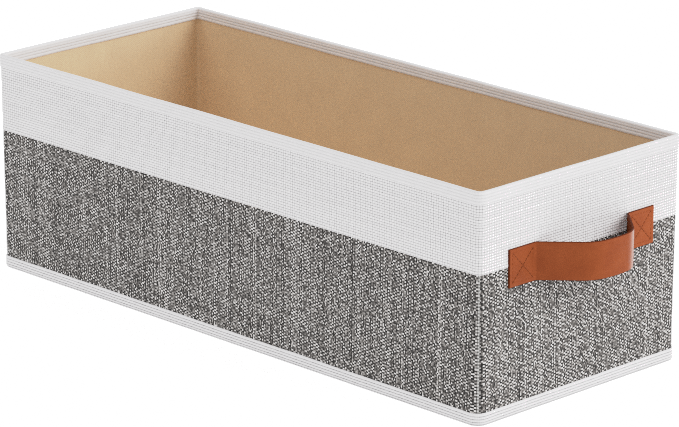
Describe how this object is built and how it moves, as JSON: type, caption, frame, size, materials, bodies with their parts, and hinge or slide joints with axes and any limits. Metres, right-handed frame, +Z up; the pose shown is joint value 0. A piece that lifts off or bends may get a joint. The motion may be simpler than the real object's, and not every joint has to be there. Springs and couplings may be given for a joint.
{
  "type": "fabric storage bin",
  "caption": "Open rectangular storage bin with board-stiffened fabric walls, bound rim and foot, loose base board and a leather strap handle on each end.",
  "frame": {"origin": "centre of the bin's footprint, on the surface that it stands on", "axes": "+X along the bin's length through the two handles, +Y across its depth, +Z up"},
  "size_m": [0.5092, 0.1842, 0.15],
  "materials": {
    "board": "matt grey-brown pressed board",
    "grey_fabric": "black, grey and white melange weave",
    "white_fabric": "ribbed off-white linen-look weave",
    "binding_tape": "ribbed off-white woven tape",
    "underside_cloth": "matt tan non-woven cloth",
    "lining": "matt tan non-woven cloth with a fine embossed texture",
    "leather": "semi-matt tan-brown leather with dark painted edges",
    "white_thread": "spun sewing thread",
    "brown_thread": "spun sewing thread"
  },
  "bodies": {
    "shell": {"front_wall_board": "board", "back_wall_board": "board", "left_wall_board": "board", "right_wall_board": "board", "middle_panel": "grey_fabric", "upper_band": "white_fabric", "rim_binding": "binding_tape", "bottom_binding": "binding_tape", "underside_cloth": "underside_cloth", "floor_lining": "lining", "wall_lining": "lining", "rim_stitching": "white_thread", "bottom_stitching": "white_thread", "right_handle_strap_end_front": "leather", "right_handle_strap_end_back": "leather", "right_handle_stitch_front": "brown_thread", "right_handle_stitch_back": "brown_thread", "left_handle_strap_end_front": "leather", "left_handle_strap_end_back": "leather", "left_handle_stitch_front": "brown_thread", "left_handle_stitch_back": "brown_thread"},
    "base_board": {"base_board_core": "board", "base_board_cover_under": "lining", "base_board_cover_top": "lining"},
    "handle_right": {"right_handle_strap_loop": "leather"},
    "handle_left": {"left_handle_strap_loop": "leather"}
  },
  "joints": [
    {"name": "base_board_lift", "type": "slide", "parent": "shell", "child": "base_board", "axis": [0, 0, 1], "range_m": [0, 0.17]},
    {"name": "handle_right_swing", "type": "hinge", "parent": "shell", "child": "handle_right", "pos_m": [0.22565, 0, 0.0965], "axis": [0, -1, 0], "range_deg": [-25, 45], "stiffness_Nm_per_rad": 0.05},
    {"name": "handle_left_swing", "type": "hinge", "parent": "shell", "child": "handle_left", "pos_m": [-0.22565, 0, 0.0965], "axis": [0, 1, 0], "range_deg": [-25, 45], "stiffness_Nm_per_rad": 0.05}
  ]
}
